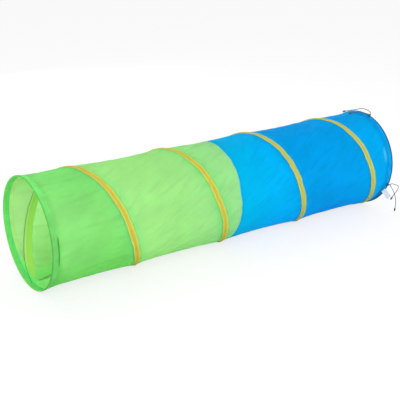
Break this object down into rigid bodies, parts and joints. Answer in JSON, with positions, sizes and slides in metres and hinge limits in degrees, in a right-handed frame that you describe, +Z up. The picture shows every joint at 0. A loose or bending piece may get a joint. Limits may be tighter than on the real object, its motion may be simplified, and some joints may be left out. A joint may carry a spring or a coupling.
{
  "type": "play tunnel",
  "caption": "Pop-up crawl tunnel for children: a fabric tube on a spring wire screw, hemmed over a wire ring at each end, that presses flat for storage.",
  "frame": {"origin": "on the floor, under the middle of the tunnel, ties not counted", "axes": "+X along the tunnel from its green mouth to its blue end, +Z up"},
  "size_m": [1.8506, 0.4745, 0.4801],
  "materials": {
    "green_hem": "thin woven polyester, folded double",
    "green_fabric": "thin woven polyester, slightly see-through",
    "blue_fabric": "thin woven polyester, slightly see-through",
    "blue_hem": "thin woven polyester, folded double",
    "yellow_binding": "woven polyester binding, stitched along both edges",
    "spring_steel": "bright drawn wire",
    "crimp_steel": "plated crimp sleeve",
    "label_satin": "blank satin tape",
    "tie_tape": "woven tape",
    "tie_cord": "twisted polyester cord"
  },
  "bodies": {
    "front_end": {"front_hem": "green_hem", "front_end_ring": "spring_steel", "front_ferrule": "crimp_steel", "green_fabric_turn_1": "green_fabric", "spring_wire_turn_1": "spring_steel", "wire_casing_turn_1": "yellow_binding"},
    "turn_2": {"green_fabric_turn_2": "green_fabric", "spring_wire_turn_2": "spring_steel", "wire_casing_turn_2": "yellow_binding"},
    "turn_3": {"blue_fabric_turn_3": "blue_fabric", "spring_wire_turn_3": "spring_steel", "wire_casing_turn_3": "yellow_binding"},
    "turn_4": {"blue_fabric_turn_4": "blue_fabric", "spring_wire_turn_4": "spring_steel", "wire_casing_turn_4": "yellow_binding"},
    "rear_end": {"rear_hem": "blue_hem", "rear_end_ring": "spring_steel", "rear_ferrule": "crimp_steel", "care_label": "label_satin", "tie_tab_upper": "tie_tape", "tie_tab_lower": "tie_tape", "tie_knot_upper": "tie_cord", "tie_knot_lower": "tie_cord", "tie_tail_upper_a": "tie_cord", "tie_tail_upper_b": "tie_cord", "tie_tail_lower_a": "tie_cord", "tie_tail_lower_b": "tie_cord", "tail_knot_upper_a": "tie_cord", "tail_knot_upper_b": "tie_cord", "tail_knot_lower_a": "tie_cord", "tail_knot_lower_b": "tie_cord"}
  },
  "joints": [
    {"name": "bay_1_collapse", "type": "slide", "parent": "front_end", "child": "turn_2", "axis": [-1, 0, 0], "range_m": [0, 0.4106], "stiffness_N_per_m": 30, "springref_m": -0.03, "deforming": ["green_fabric_turn_1", "spring_wire_turn_1", "wire_casing_turn_1"]},
    {"name": "bay_2_collapse", "type": "slide", "parent": "turn_2", "child": "turn_3", "axis": [-1, 0, 0], "range_m": [0, 0.4252], "stiffness_N_per_m": 30, "springref_m": -0.03, "deforming": ["green_fabric_turn_2", "spring_wire_turn_2", "wire_casing_turn_2"]},
    {"name": "bay_3_collapse", "type": "slide", "parent": "turn_3", "child": "turn_4", "axis": [-1, 0, 0], "range_m": [0, 0.4252], "stiffness_N_per_m": 30, "springref_m": -0.03, "deforming": ["blue_fabric_turn_3", "spring_wire_turn_3", "wire_casing_turn_3"]},
    {"name": "bay_4_collapse", "type": "slide", "parent": "turn_4", "child": "rear_end", "axis": [-1, 0, 0], "range_m": [0, 0.4261], "stiffness_N_per_m": 30, "springref_m": -0.03, "deforming": ["blue_fabric_turn_4", "spring_wire_turn_4", "wire_casing_turn_4"]}
  ],
  "couplings": [
    {"joint": "bay_2_collapse", "follows": "bay_1_collapse", "ratio": 1.0353},
    {"joint": "bay_3_collapse", "follows": "bay_1_collapse", "ratio": 1.0353},
    {"joint": "bay_4_collapse", "follows": "bay_1_collapse", "ratio": 1.0376}
  ]
}
